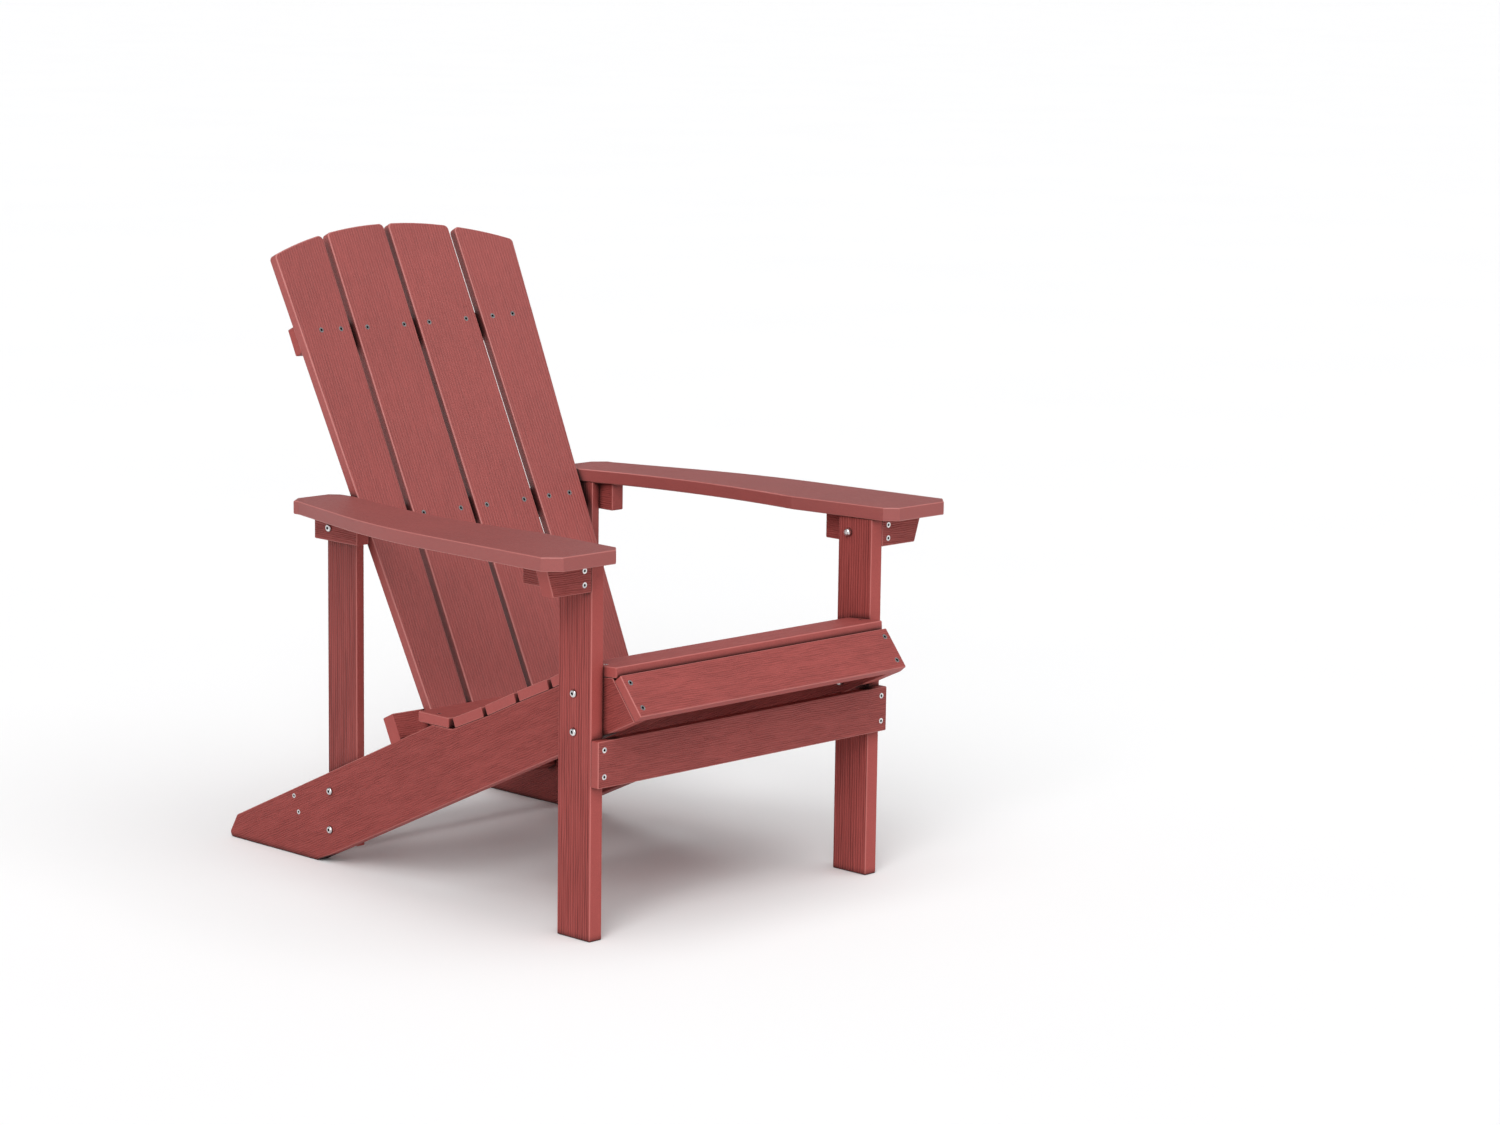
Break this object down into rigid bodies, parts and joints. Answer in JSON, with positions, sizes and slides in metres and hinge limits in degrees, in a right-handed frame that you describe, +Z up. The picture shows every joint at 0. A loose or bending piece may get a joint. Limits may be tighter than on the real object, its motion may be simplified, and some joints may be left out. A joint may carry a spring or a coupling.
{
  "type": "adirondack chair",
  "caption": "Low slatted garden armchair with a reclined fan back, a sloping slatted seat and wide flat arms, in moulded polymer boards.",
  "frame": {"origin": "middle of the bounding box, at floor level", "axes": "+X to the sitter's left, +Y to the rear, +Z up; X = 0 is the plane of symmetry"},
  "size_m": [0.793, 0.8836, 0.9116],
  "materials": {
    "board": "red-brown moulded polymer with an embossed grain",
    "fastener": "bright stainless steel"
  },
  "bodies": {
    "root": {"apron_screws": "fastener", "arm_left": "board", "arm_right": "board", "arm_screws": "fastener", "back_rail_lower": "board", "back_rail_middle": "board", "back_rail_upper": "board", "back_screws_lower": "fastener", "back_screws_middle": "fastener", "back_screws_upper": "fastener", "back_slat_left_inner": "board", "back_slat_left_outer": "board", "back_slat_right_inner": "board", "back_slat_right_outer": "board", "bracket_screws": "fastener", "front_apron": "board", "front_arm_bracket_left": "board", "front_arm_bracket_right": "board", "front_arm_cleat_left": "board", "front_arm_cleat_right": "board", "front_cleat_bolts": "fastener", "front_cleat_nuts": "fastener", "front_leg_left": "board", "front_leg_right": "board", "leg_bolt_nuts": "fastener", "leg_bolts": "fastener", "lower_rail_screws": "fastener", "nose_screws": "fastener", "nose_slat": "board", "post_bolt_nuts": "fastener", "post_bolts": "fastener", "rear_arm_cleat_left": "board", "rear_arm_cleat_right": "board", "rear_cleat_bolts": "fastener", "rear_post_left": "board", "rear_post_right": "board", "rear_stretcher": "board", "seat_screws": "fastener", "seat_slat_1": "board", "seat_slat_2": "board", "seat_slat_3": "board", "seat_slat_4": "board", "seat_slat_5": "board", "seat_slat_6": "board", "stretcher_screws": "fastener", "stringer_left": "board", "stringer_right": "board"}
  },
  "joints": []
}
